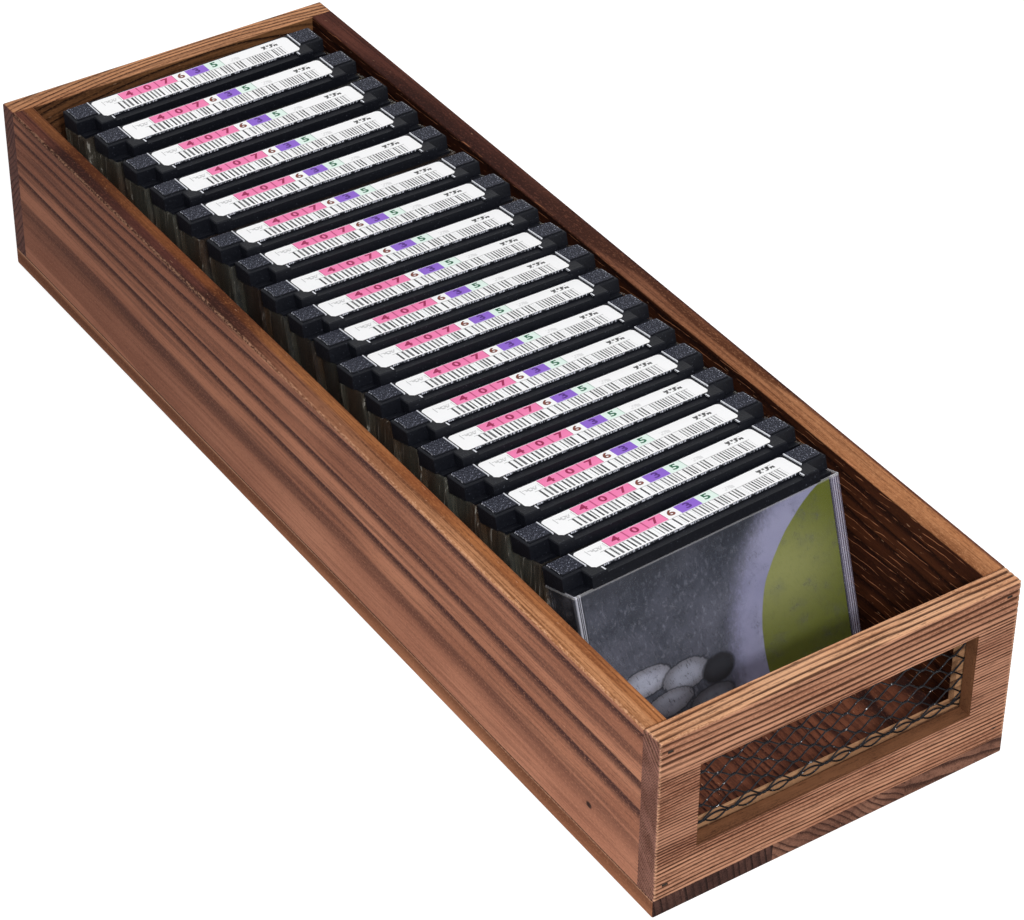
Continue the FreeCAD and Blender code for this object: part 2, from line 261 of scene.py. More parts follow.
class Finish(Nodes):
    """A procedural material and the nodes that make it."""

    def __init__(self, name, **constants):
        self.material = bpy.data.materials.new(name)
        self.material.use_nodes = True
        super().__init__(self.material.node_tree)
        self.shader = self.tree.nodes["Principled BSDF"]
        for socket, value in constants.items():
            self.shader.inputs[socket.replace("_", " ")].default_value = value

    def place(self):
        """Where a point is on the object, in millimetres."""
        coordinates = self.node("ShaderNodeTexCoord")
        scaled = self.node("ShaderNodeVectorMath", {"operation": "SCALE"},
                           {0: self.wrap(coordinates.outputs["Object"]), "Scale": 1.0 / MM})
        return self.wrap(scaled.outputs[0])

    def place_on(self, standing):
        """Where a point is on a piece that stands by a matrix, in the piece's own upright millimetres."""
        upright = standing.inverted()
        coordinates = self.wrap(self.node("ShaderNodeTexCoord").outputs["Object"])
        mapping = self.node("ShaderNodeMapping", {"vector_type": "POINT"},
                            {"Vector": coordinates, "Location": upright.to_translation() / MM,
                             "Rotation": upright.to_euler(), "Scale": (1 / MM, 1 / MM, 1 / MM)})
        return self.wrap(mapping.outputs[0])

    def spread(self, name):
        """The piece's own UV map."""
        return self.wrap(self.node("ShaderNodeUVMap", {"uv_map": name}).outputs["UV"])

    def field(self, name):
        """A number kept on the piece's points."""
        return self.wrap(self.node("ShaderNodeAttribute", {"attribute_name": name}).outputs["Fac"])

    def parts(self, vector):
        made = self.node("ShaderNodeSeparateXYZ", None, {0: vector})
        return [self.wrap(output) for output in made.outputs]

    def vector(self, x, y, z):
        return self.wrap(self.node("ShaderNodeCombineXYZ", None, {0: x, 1: y, 2: z}).outputs[0])

    def length(self, x, y):
        made = self.node("ShaderNodeVectorMath", {"operation": "LENGTH"}, {0: self.vector(x, y, 0.0)})
        return self.wrap(made.outputs["Value"])

    def noise(self, vector, scale=1.0, detail=2.0, roughness=0.5):
        made = self.node("ShaderNodeTexNoise", None,
                         {"Vector": vector, "Scale": scale, "Detail": detail, "Roughness": roughness})
        return self.wrap(made.outputs[0])

    def blended(self, tone, shares):
        """A tone with others laid over it, each with the share of it that shows."""
        for share, other in shares:
            tone = [self.mix(share, here, there) for here, there in zip(tone, other)]
        return tone

    def chance(self, value):
        """A random number from 0 to 1 for each whole value. A number added to it gives another draw."""
        made = self.node("ShaderNodeTexWhiteNoise", {"noise_dimensions": "1D"}, {"W": value})
        return self.wrap(made.outputs["Value"])

    def feed(self, **links):
        for socket, value in links.items():
            self.tree.links.new(value.socket, self.shader.inputs[socket.replace("_", " ")])

    def bump(self, height, distance):
        """Raises the surface by a height from 0 to 1 times a distance in millimetres."""
        made = self.node("ShaderNodeBump", None, {"Height": height, "Distance": distance * MM})
        self.tree.links.new(made.outputs[0], self.shader.inputs["Normal"])


# Woods. A tone is the pale, the middle and the dark colour of one wood, all of them linear.

SIDE_TONE = ((0.66, 0.288, 0.168), (0.43, 0.174, 0.102), (0.085, 0.036, 0.031))
RIM_TONE = ((0.57, 0.272, 0.127), (0.38, 0.156, 0.065), (0.13, 0.044, 0.017))
RIM_INNER_TONE = ((0.42, 0.165, 0.060), (0.25, 0.080, 0.028), (0.11, 0.034, 0.014))
RIM_FAR_TONE = ((0.21, 0.076, 0.050), (0.115, 0.038, 0.028), (0.045, 0.017, 0.013))
PLAIN_TONE = ((0.71, 0.320, 0.194), (0.54, 0.228, 0.137), (0.29, 0.116, 0.073))
RIM_EDGE_TONE = ((0.20, 0.080, 0.045), (0.12, 0.042, 0.024), (0.05, 0.018, 0.012))
# The left board's inner face: the same wood, painted paler as painted light.
INSIDE_TONE = ((0.64, 0.360, 0.180), (0.50, 0.250, 0.110), (0.30, 0.120, 0.045))
SHADED_TONE = ((0.090, 0.028, 0.012), (0.048, 0.015, 0.008), (0.020, 0.007, 0.005))
PANEL_TONE = ((0.55, 0.272, 0.164), (0.305, 0.130, 0.075), (0.050, 0.019, 0.010))
PANEL_TOP_TONE = ((0.66, 0.358, 0.203), (0.45, 0.205, 0.102), (0.050, 0.019, 0.010))
PANEL_MIDDLE_TONE = ((0.46, 0.225, 0.140), (0.235, 0.096, 0.056), (0.045, 0.016, 0.009))
BACK_TONE = ((0.56, 0.270, 0.135), (0.33, 0.140, 0.065), (0.060, 0.022, 0.012))
BACK_INSIDE_TONE = ((0.20, 0.088, 0.036), (0.11, 0.044, 0.020), (0.018, 0.008, 0.005))
BASE_TONE = ((0.62, 0.275, 0.140), (0.46, 0.185, 0.092), (0.19, 0.072, 0.040))
FLOOR_TONE = ((0.20, 0.068, 0.036), (0.12, 0.040, 0.023), (0.030, 0.012, 0.010))
END_TONE = ((0.105, 0.050, 0.038), (0.055, 0.026, 0.021), (0.016, 0.008, 0.007))
END_PALE_TONE = ((0.27, 0.130, 0.085), (0.16, 0.072, 0.048), (0.050, 0.022, 0.016))
END_FAR_TONE = ((0.15, 0.062, 0.046), (0.105, 0.043, 0.034), (0.050, 0.022, 0.020))
PANEL_END_TONE = ((0.36, 0.174, 0.130), (0.220, 0.097, 0.070), (0.055, 0.021, 0.015))
BATTEN_TONE = ((0.40, 0.220, 0.115), (0.28, 0.142, 0.072), (0.11, 0.050, 0.028))
SILL_TONE = ((0.17, 0.072, 0.034), (0.095, 0.039, 0.019), (0.028, 0.011, 0.007))
JOINT_TONE = ((0.040, 0.016, 0.010), (0.028, 0.011, 0.008), (0.012, 0.006, 0.005))
# A paler tone for the base's upper edge, partly the wood's own and partly a painted highlight.
BASE_EDGE_TONE = ((0.74, 0.420, 0.250), (0.62, 0.310, 0.170), (0.28, 0.120, 0.070))
# A pale wood colour for nicks and abraded edges; on the edges it is also a painted highlight.
WEAR_AND_HIGHLIGHT_COLOUR = (0.80, 0.46, 0.28)
SCRATCH_COLOUR = (0.55, 0.23, 0.11)
PORE_COLOUR = (0.01, 0.005, 0.004)
# The colour that darkens the wood towards the drawer's back.
BACK_DARKENING_COLOUR = (0.30, 0.25, 0.26)
WOOD_SPECULAR = 0.05
WOOD_BUMP = 0.22


def wood(name, along, tone, gap, tilt_deg, offset, waver, slope=0.0, swell=None, areas=(), fade=0.0,
         fibre=1.0, wear_and_highlight=None, scratched=None):
    """Oiled wood whose growth rings run along an axis and show as stripes across the board.

    gap is the rings' spacing in millimetres, tilt_deg turns the rings about the grain, offset moves them,
    and waver is how far they wander. slope lets them climb along the board, and swell adds a bulge to them.
    Each area is a mask with the tone that the wood has there; where that tone is the shaded tone, it is
    painted shade. fade is how much darker the wood gets towards the drawer's back, and fibre is how strongly
    its fibres show. The edge mask after fibre covers its abraded edges, which are painted paler, partly as
    abraded wood and partly as painted highlights, and scratched masks its scratches. Masks and swells are
    worked out from x, y and z in millimetres."""
    finish = Finish(name, Specular_IOR_Level=WOOD_SPECULAR)
    x, y, z = finish.parts(finish.place())
    run, side = (y, x) if along == "Y" else (x, y)

    def grain(length, fineness, detail, roughness=0.5):
        """Noise that is drawn out along the board and fine across it."""
        drawn = finish.vector(run / length, side * fineness, z * fineness)
        return finish.noise(drawn, 1.0, detail, roughness)

    tilt = math.radians(tilt_deg)
    wander = (grain(130.0, 1 / 30.0, 2.0) - 0.5) * (2.0 * waver)
    level = z * math.cos(tilt) + side * math.sin(tilt) - run * slope + wander + offset
    if swell:
        level = level + swell(x, y, z)
    ring = level / gap
    ring = ring + (finish.noise(finish.vector(ring, offset, run / 400.0), 0.6, 0.0) - 0.5) * 0.7
    phase = ring.part()
    weight = finish.chance(ring.whole()).rise(-0.5, 0.6)
    late = phase.rise(0.40, 0.84) * (1.0 - phase.rise(0.90, 0.98)) * weight

    streaks = grain(80.0, 0.42, 3.0, 0.6)
    threads = grain(40.0, 1.5, 3.0, 0.65)
    hairs = grain(7.0, 3.2, 2.0, 0.7)
    grit = grain(1.25, 1.7, 2.0, 0.7)
    cloud = grain(90.0, 1 / 16.0, 2.0)
    pale, middle, dark = finish.blended(tone, [(mask(x, y, z), other) for mask, other in areas])
    ground = finish.mix(cloud.rise(0.34, 0.66), pale, middle)
    streaky = finish.mix(streaks.rise(0.46, 0.66) * (0.48 * fibre), ground, dark)
    striped = finish.mix(late, streaky, dark)
    if along == "Y":
        rim_lines = finish.noise(finish.vector(run / 170.0, side * 0.85, offset), 1.0, 3.0, 0.65)
        striped = finish.mix(rim_lines.rise(0.53, 0.60) * on_top(x, y, z) * 0.62, striped, dark)
    threaded = finish.mix(threads.rise(0.48, 0.72) * (0.45 * fibre), striped, dark)
    pores = hairs.rise(0.56, 0.70) * (0.50 * fibre)
    pored = finish.mix(pores, threaded, finish.mix(0.5, dark, PORE_COLOUR))
    lit = finish.mix(grit.rise(0.50, 0.74) * 0.55, pored, pale)
    colour = finish.mix(grit.rise(0.46, 0.24) * 0.50, lit, dark)
    nicks = grain(3.4, 1.3, 1.0).rise(0.765, 0.785)
    colour = finish.mix(nicks * 0.35, colour, WEAR_AND_HIGHLIGHT_COLOUR)
    # Edges painted paler: partly abraded wood and partly painted highlights.
    if wear_and_highlight:
        colour = finish.mix(wear_and_highlight(x, y, z) * grit.rise(0.40, 0.62) * 0.42, colour, WEAR_AND_HIGHLIGHT_COLOUR)
    if scratched:
        drift = finish.noise(finish.vector(run / 14.0, 3.0, z / 6.0)) * 3.2
        track = (z + run * 0.06 + drift) / 2.7
        thin = track.part().rise(0.42, 0.46) * (1.0 - track.part().rise(0.49, 0.54))
        broken = finish.noise(finish.vector(run / 10.0, track.whole() * 7.3, 2.0)).rise(0.47, 0.58)
        colour = finish.mix(thin * broken * scratched(x, y, z), colour, SCRATCH_COLOUR)
    # Darker towards the drawer's back, more so the further back.
    if fade:
        back_share = y.rise(-210.0, 190.0) * fade
        colour = finish.mix(back_share, colour, BACK_DARKENING_COLOUR, "MULTIPLY")
    finish.feed(Base_Color=colour, Roughness=0.58 + 0.18 * threads + 0.08 * late)
    finish.bump(0.5 * (1.0 - late) + 0.2 * (1.0 - pores) + 0.3 * threads + 0.25 * grit, WOOD_BUMP)
    return finish.material


# Masks: each is 1 on one part of the box and 0 elsewhere

def on_top(x, y, z):
    return z.rise(RIM - 0.8, RIM - 0.3)


def on_flanks(x, y, z):
    return x.size() > HALF_WIDTH - 0.1


def left_rim_inside(x, y, z):
    return on_top(x, y, z) * x.rise(-66.4, -64.6)


def right_rim_outside(x, y, z):
    return on_top(x, y, z) * x.rise(68.2, 69.2)


def far_rim(x, y, z):
    return on_top(x, y, z) * y.rise(-180.0, 90.0)


def on_base_top(x, y, z):
    return z.rise(BASE_TOP - 0.2, BASE_TOP - 0.1)


def at_ends(x, y, z):
    return x.size().rise(HALF_WIDTH - 0.6, HALF_WIDTH - 0.3)


def at_base_front(x, y, z):
    return (y * -1.0).rise(HALF_LENGTH - 0.5, HALF_LENGTH - 0.2)


def left_inside(x, y, z):
    return x.rise(-INNER_HALF - 0.7, -INNER_HALF - 0.2)


def right_inside(x, y, z):
    return x.rise(INNER_HALF + 0.7, INNER_HALF + 0.2)


def back_inside(x, y, z):
    inside = HALF_LENGTH - END_BOARD_THICKNESS
    return y.rise(inside + 0.7, inside + 0.2) * z.rise(RIM - 0.3, RIM - 0.8)


# The outer rim edge, which is painted paler as abrasion and as a painted highlight.
def outer_rim_edge(x, y, z):
    return x.size().rise(HALF_WIDTH - 1.1, HALF_WIDTH - 0.4) * z.rise(RIM - 1.1, RIM - 0.4)


# The base's upper edge on its flanks, painted paler as abrasion and as a painted highlight.
def base_joint(x, y, z):
    return z.rise(BASE_TOP - 1.0, BASE_TOP - 0.3) * on_flanks(x, y, z)


def joint_line(x, y, z):
    return z.within(BASE_TOP - 0.10, BASE_TOP + 0.32) * on_flanks(x, y, z)


# The base's upper edge band, whose paler tone is partly the wood's and partly a painted highlight.
def base_edge(x, y, z):
    return z.rise(BASE_TOP - 1.0, BASE_TOP - 0.5) * on_flanks(x, y, z)


def small_nick(x, y, z):
    """A little dark nick low on the left board, near its front."""
    along = y + 178.5
    up = z - 20.5
    return (along * along * 0.6 + up * up).rise(2.2, 0.4) * (x < 0.1 - HALF_WIDTH)


def plain_foot(x, y, z):
    return z.rise(30.0, 17.0) * on_flanks(x, y, z)


def left_swell(x, y, z):
    """Crowds the left board's rings to its rim, and bulges them towards its far end."""
    far = z - 38.0
    return 0.031 * z * z + y.rise(-90.0, 213.0) * 0.085 * far * far


def back_swell(x, y, z):
    """Bends the back board's rings into long arcs."""
    return 0.0013 * x * x


def ridged_wood():
    """The front panel's brushed wood: its grooves carry a depth from 0 to 1, which darkens them."""
    finish = Finish("brushed_panel_wood", Specular_IOR_Level=WOOD_SPECULAR)
    x, y, z = finish.parts(finish.place())
    depth = finish.field(GROOVE_FIELD)
    threads = finish.noise(finish.vector(x / 40.0, y * 1.2, z * 1.9), 1.0, 3.0, 0.6)
    hairs = finish.noise(finish.vector(x / 5.0, y * 3.0, z * 3.6), 1.0, 2.0, 0.7)
    grit = finish.noise(finish.vector(x * 0.9, y * 2.2, z * 2.2), 1.0, 2.0, 0.7)
    cloud = finish.noise(finish.vector(x / 45.0, y / 8.0, z / 9.0), 1.0, 2.0)
    opening = (x.size() < WINDOW_HALF + 0.15) * z.within(WINDOW_BOTTOM - 0.15, WINDOW_TOP + 0.15)
    waist = z.rise(18.0, 25.0) * z.rise(61.0, 54.0)
    depth = depth * (1.0 - opening)
    pale, middle, dark = finish.blended(PANEL_TONE, (
        (on_top(x, y, z), PANEL_TOP_TONE), (waist, PANEL_MIDDLE_TONE), (opening, SILL_TONE),
        (at_ends(x, y, z), PANEL_END_TONE)))
    ground = finish.mix(cloud.rise(0.36, 0.64), pale, middle)
    threaded = finish.mix(threads.rise(0.45, 0.72) * 0.50, ground, dark)
    # The ridges between the grooves are painted paler as highlights, and the grooves darker, partly as
    # darker ring wood and partly as painted shade.
    ridge_highlit = finish.mix(depth.rise(0.30, 0.0) * grit.rise(0.35, 0.60) * 0.60, threaded, pale)
    groove_shaded = finish.mix(depth.rise(0.08, 0.62) * 0.92, ridge_highlit, dark)
    pores = hairs.rise(0.60, 0.70) * 0.65
    colour = finish.mix(pores, groove_shaded, finish.mix(0.5, dark, PORE_COLOUR))
    # Near the panel's ends the wood is painted paler, partly as abrasion and partly as painted highlights.
    from_flank = HALF_WIDTH - x.size()
    scuffed_and_highlit = from_flank.rise(1.4, 0.6) * (1.0 - from_flank.rise(0.35, 0.1))
    colour = finish.mix(scuffed_and_highlit * grit.rise(0.40, 0.60) * 0.5, colour, WEAR_AND_HIGHLIGHT_COLOUR)
    finish.feed(Base_Color=colour, Roughness=0.6 + 0.18 * threads)
    finish.bump(0.4 * threads + 0.4 * (1.0 - pores) + 0.3 * grit, WOOD_BUMP)
    return finish.material


def dress_boards():
    """Each board that keeps its solid gets its own wood."""
    base_areas = ((on_base_top, FLOOR_TONE), (at_base_front, END_PALE_TONE), (joint_line, JOINT_TONE))
    woods = {
        "left_side_board": wood(
            "left_board_wood", "Y", SIDE_TONE, gap=46.0, tilt_deg=0.0, offset=34.0, waver=5.0, slope=0.05,
            swell=left_swell, fade=0.62, wear_and_highlight=outer_rim_edge,
            areas=((plain_foot, PLAIN_TONE), (left_inside, INSIDE_TONE), (on_top, RIM_TONE),
                   (far_rim, RIM_FAR_TONE), (left_rim_inside, RIM_INNER_TONE), (joint_line, JOINT_TONE),
                   (small_nick, END_TONE))),
        "right_side_board": wood(
            "right_board_wood", "Y", SIDE_TONE, gap=7.0, tilt_deg=-24.0, offset=21.0, waver=6.0, slope=0.02,
            fade=0.70, scratched=right_inside,
            areas=((right_inside, SHADED_TONE), (on_top, RIM_TONE), (right_rim_outside, RIM_EDGE_TONE),
                   (far_rim, RIM_FAR_TONE))),
        "back_board": wood(
            "back_board_wood", "X", BACK_TONE, gap=1.9, tilt_deg=52.0, offset=11.0, waver=3.0, slope=0.02,
            swell=back_swell, areas=((back_inside, BACK_INSIDE_TONE), (at_ends, END_FAR_TONE))),
        "base_stave_left": wood(
            "left_stave_wood", "Y", BASE_TONE, gap=2.5, tilt_deg=80.0, offset=5.0, waver=1.0,
            fade=0.55, fibre=0.8, wear_and_highlight=base_joint,
            areas=((on_base_top, FLOOR_TONE), (at_base_front, END_TONE), (base_edge, BASE_EDGE_TONE),
                   (joint_line, JOINT_TONE))),
        "base_stave_middle": wood(
            "middle_stave_wood", "Y", BASE_TONE, gap=2.3, tilt_deg=38.0, offset=17.0, waver=6.0,
            fade=0.5, fibre=0.8, areas=base_areas),
        "base_stave_right": wood(
            "right_stave_wood", "Y", BASE_TONE, gap=5.0, tilt_deg=12.0, offset=29.0, waver=4.0,
            fade=0.5, areas=base_areas),
    }
    batten_wood = wood("batten_wood", "X", BATTEN_TONE, gap=2.6, tilt_deg=50.0, offset=1.0, waver=1.5,
                       fibre=0.8)
    for end in ("top", "bottom", "left", "right"):
        woods["batten_" + end] = batten_wood
    for node, material in woods.items():
        repaint(frame["nodes"][node], material)


def repaint(piece, material):
    """Gives a CAD node's object its finish."""
    piece.data.materials.clear()
    piece.data.materials.append(material)


# Metals, plastics and prints

def nail_steel():
    """Dull, nearly black steel."""
    finish = Finish("dull_nail_steel", Metallic=1.0)
    speck = finish.noise(finish.place(), 3.0, 3.0)
    finish.feed(Base_Color=finish.mix(speck, (0.012, 0.010, 0.009), (0.070, 0.060, 0.052)),
                Roughness=0.45 + 0.3 * speck)
    return finish.material


def wire_steel():
    """Dark galvanised wire with bright patches, partly scuffed zinc and partly painted glints."""
    finish = Finish("dark_galvanised_wire", Metallic=0.8)
    # Bright patches that stand for the wire's glints, partly as scuffed zinc and partly as painted glints.
    scuffed_and_highlit = finish.noise(finish.place(), 1.1, 3.0, 0.7).rise(0.635, 0.71)
    finish.feed(Base_Color=finish.mix(scuffed_and_highlit, (0.007, 0.007, 0.009), (0.50, 0.50, 0.52)),
                Roughness=0.42 - 0.1 * scuffed_and_highlit)
    return finish.material


def moulded_plastic():
    """Black moulded plastic with a blue cast and a few bright grains."""
    finish = Finish("black_moulded_plastic", Specular_IOR_Level=0.14)
    mottle = finish.noise(finish.place(), 1.2, 3.0, 0.7)
    grains = finish.noise(finish.place(), 1.7, 2.0, 0.7).rise(0.66, 0.74)
    black = finish.mix(mottle, (0.0010, 0.0013, 0.0024), (0.0060, 0.0070, 0.0115))
    finish.feed(Base_Color=finish.mix(grains * 0.6, black, (0.11, 0.12, 0.15)),
                Roughness=0.34 + 0.3 * mottle)
    finish.bump(mottle, 0.12)
    return finish.material


def grip_plastic(field):
    """The speckled grip pads: bright grains on black."""
    finish = Finish("speckled_grip", Specular_IOR_Level=0.18)
    grains = finish.noise(finish.spread(field), 17.0, 3.0, 0.75)
    bright = grains.rise(0.590, 0.660)
    ground = finish.mix(grains.rise(0.42, 0.58), (0.002, 0.003, 0.008), (0.018, 0.020, 0.034))
    finish.feed(Base_Color=finish.mix(bright, ground, (0.50, 0.53, 0.66)),
                Roughness=0.6 - 0.25 * bright)
    finish.bump(grains, 0.35)
    return finish.material


def lip_plastic(field):
    """The rough little lip in front of the label, whose sparkle along its length is painted as bright
    grains.
    """
    finish = Finish("sparkling_lip", Specular_IOR_Level=0.3)
    grains = finish.noise(finish.spread(field), 17.0, 2.0, 0.75)
    # Bright grains: painted sparkle.
    bright = grains.rise(0.50, 0.58)
    finish.feed(Base_Color=finish.mix(bright, (0.005, 0.006, 0.010), (0.62, 0.64, 0.72)),
                Roughness=0.55 - 0.2 * bright)
    finish.bump(grains, 0.2)
    return finish.material


def highlight_plastic():
    """Pale plastic for the head's inner rib pieces and ticks: a painted highlight along its edges, with a
    paler mottle.
    """
    finish = Finish("painted_highlight_edge", Specular_IOR_Level=0.5)
    # A mottle within the painted highlight.
    highlight_mottle = finish.noise(finish.place(), 1.6, 2.0)
    finish.feed(Base_Color=finish.mix(highlight_mottle, (0.52, 0.54, 0.60), (0.92, 0.93, 0.96)),
                Roughness=0.3 + 0.2 * highlight_mottle)
    return finish.material


def sleeve_plastic():
    """Clear styrene, seen on edge in the row: dark and glassy, with upright scuffs, and bright upright
    streaks that are painted highlights.
    """
    finish = Finish("clear_styrene", Roughness=0.18, Specular_IOR_Level=0.45)
    x, y, z = finish.parts(finish.place())
    streaks = finish.noise(finish.vector(x / 2.0, y * 0.8, z / 22.0), 1.0, 3.0, 0.65)
    scuffs = finish.noise(finish.place(), 0.45, 4.0, 0.7).rise(0.56, 0.74)
    tint = finish.noise(finish.vector(7.0, y / 20.0, z / 30.0), 1.0, 1.0)
    body = finish.mix(tint.rise(0.35, 0.65), (0.125, 0.078, 0.048), (0.13, 0.13, 0.105))
    edge_on = 0.3 + 0.7 * x.size().rise(CASE_HALF - 3.0, CASE_HALF - 1.5)
    # Bright upright streaks on the case walls: painted highlights.
    bright = streaks.rise(0.60, 0.68) * edge_on
    cloudy = 0.12 * streaks.rise(0.40, 0.60) + 0.10 * scuffs
    finish.feed(Base_Color=finish.mix(bright, body, (0.40, 0.38, 0.34)),
                Alpha=0.04 + (0.11 + cloudy) * edge_on + 0.28 * bright)
    return finish.material


def front_sleeve_plastic(standing):
    """The first case's clear styrene: clear over the card, with fine scratches. Its top edge and pale
    upright lines near its ends are painted highlights, and its thick ends are painted paler and less clear
    as reflections, lavender at the right.
    """
    finish = Finish("clear_front_styrene", Roughness=0.16, Specular_IOR_Level=0.35)
    x, y, z = finish.parts(finish.place_on(standing))
    # A painted highlight along the case's top edge.
    top = z.rise(CASE_HEIGHT - 0.62, CASE_HEIGHT - 0.45)
    front = (y * -1.0).rise(CASE_THICKNESS - 1.3, CASE_THICKNESS - 1.1)
    # The case's thick ends, painted paler and less clear as reflections.
    right = x.rise(50.8, 51.0)
    left = x.rise(-51.5, -51.7)
    # Pale upright lines near the ends: painted highlights.
    highlight_lines = (x * 1.15).part().within(0.30, 0.52) * right + x.within(-53.9, -53.3) + x.within(-52.3, -52.0)
    crease = finish.noise(finish.vector(x / 5.0, y, z / 9.0), 1.0, 4.0, 0.75)
    scratches = crease.rise(0.555, 0.565) * (1.0 - crease.rise(0.572, 0.582))
    scuffs = finish.noise(finish.vector(x / 6.0, y / 6.0, z / 6.0), 1.0, 4.0, 0.7).rise(0.45, 0.75)
    glints = finish.noise(finish.vector(x / 1.4, y, z / 1.2), 1.0, 3.0, 0.8).rise(0.62, 0.70) * right
    pale = finish.mix(right, (0.16, 0.17, 0.21), (0.34, 0.31, 0.44))
    pale = finish.mix(top, pale, (0.50, 0.50, 0.52))
    colour = finish.mix(highlight_lines * 0.8 + glints * 0.7, pale, (0.74, 0.74, 0.84))
    clear = 0.02 + 0.07 * scuffs + 0.35 * scratches * scuffs
    scuff_and_highlight_alpha = clear + ((0.24 * right + 0.20 * left) + 0.38 * highlight_lines + 0.3 * glints) * front
    finish.feed(Base_Color=colour, Alpha=scuff_and_highlight_alpha + 0.26 * top)
    return finish.material


# The label's print, as shares of its width from the left and of its depth from the front
PINK_SHARES = (0.135, 0.410)
BROWN_SHARES = (0.410, 0.474)
PURPLE_SHARES = (0.474, 0.572)
MINT_SHARES = (0.572, 0.650)
CELL_BOTTOM_SHARE = 0.560
CELL_TOP_SHARE = 0.985
BAR_SHARES = (0.100, 0.945)
BAR_BOTTOM_SHARE = 0.07
BAR_TOP_SHARE = 0.520
BAR_COUNT = 55


def label_print(field):
    """A white paper label: coloured cells along the back, and bars along the front."""
    finish = Finish("printed_label", Specular_IOR_Level=0.2)
    across, deep, _ = finish.parts(finish.spread(field))
    fleck = finish.noise(finish.place(), 2.5, 3.0)
    paper = finish.mix(fleck, (0.89, 0.89, 0.89), (0.94, 0.94, 0.94))
    row = deep.within(CELL_BOTTOM_SHARE, CELL_TOP_SHARE)
    pink = across.within(*PINK_SHARES) * row
    purple = across.within(*PURPLE_SHARES) * row
    mint = across.within(*MINT_SHARES) * row
    inked = finish.mix(pink, paper, (0.86, 0.215, 0.43))
    inked = finish.mix(purple, inked, (0.265, 0.125, 0.60))
    inked = finish.mix(mint, inked, (0.74, 0.87, 0.80))

    third = (PINK_SHARES[1] - PINK_SHARES[0]) / 3
    seam = ((across - PINK_SHARES[0]) / third).part()
    seam = ((seam < 0.035) + (seam > 0.965)) * pink
    inked = finish.mix(seam * 0.8, inked, (0.45, 0.04, 0.14))
    inked = finish.mix(across.within(0.649, 0.653) * row, inked, (0.42, 0.52, 0.47))

    inside = across.within(*BAR_SHARES) * deep.within(BAR_BOTTOM_SHARE, BAR_TOP_SHARE)
    share = (across - BAR_SHARES[0]) / (BAR_SHARES[1] - BAR_SHARES[0])
    slot = (0.72 + 0.28 * share) * share * BAR_COUNT
    count = slot.whole()
    width = 0.26 + 0.24 * finish.chance(count)
    start = 0.30 * finish.chance(count + 300.0)
    printed = finish.chance(count + 700.0) < 0.80
    thick = (slot.part() > start) * (slot.part() < start + width) * printed
    shade = finish.mix(finish.chance(count + 500.0) > 0.80, (0.012, 0.012, 0.014), (0.10, 0.10, 0.105))
    inked = finish.mix(thick * inside, inked, shade)
    thin_slot = slot * 2.0 + 0.37
    thin = thin_slot.part().within(0.40, 0.60) * (finish.chance(thin_slot.whole() + 90.0) > 0.45)
    inked = finish.mix(thin * inside * 0.60, inked, (0.20, 0.20, 0.20))
    line = deep.within(0.520, 0.545) * across.within(0.085, 0.945)
    inked = finish.mix(line * 0.60, inked, (0.22, 0.22, 0.22))

    marks = finish.chance((across * 190.0).whole() + 41.0 * (deep * 13.0).whole()) > 0.42
    left = across.within(0.052, 0.122) * deep.within(0.63, 0.80) * marks
    bracket = (across.within(0.044, 0.048) + across.within(0.126, 0.130)) * deep.within(0.58, 0.86)
    right = across.within(0.858, 0.935) * deep.within(0.66, 0.86) * marks
    faint = across.within(0.690, 0.735) * deep.within(0.62, 0.80) * marks
    inked = finish.mix((left + bracket) * 0.55, inked, (0.30, 0.30, 0.30))
    inked = finish.mix(faint * 0.30, inked, (0.30, 0.30, 0.30))
    inked = finish.mix(right * 0.95, inked, (0.03, 0.03, 0.03))
    finish.feed(Base_Color=inked, Roughness=0.45 + 0.1 * fleck)
    return finish.material


def ink(name, colour):
    """Printing ink with a faint mottle."""
    finish = Finish(name, Specular_IOR_Level=0.2)
    fleck = finish.noise(finish.place(), 6.0, 2.0)
    darker = tuple(channel * 0.7 for channel in colour)
    finish.feed(Base_Color=finish.mix(fleck, darker, colour), Roughness=0.45 + 0.1 * fleck)
    return finish.material


# The card's pebbles: where each lies, its half sizes in millimetres, and how pale it is
PEBBLES = ((-33.0, 24.0, 11.0, 5.0, 0.40), (-17.0, 20.0, 9.5, 5.5, 0.30), (-43.0, 16.0, 8.0, 5.0, 0.24),
           (-25.0, 13.0, 10.0, 4.5, 0.34), (-4.0, 17.0, 6.5, 5.0, 0.022), (-8.0, 8.0, 9.0, 4.0, 0.16))


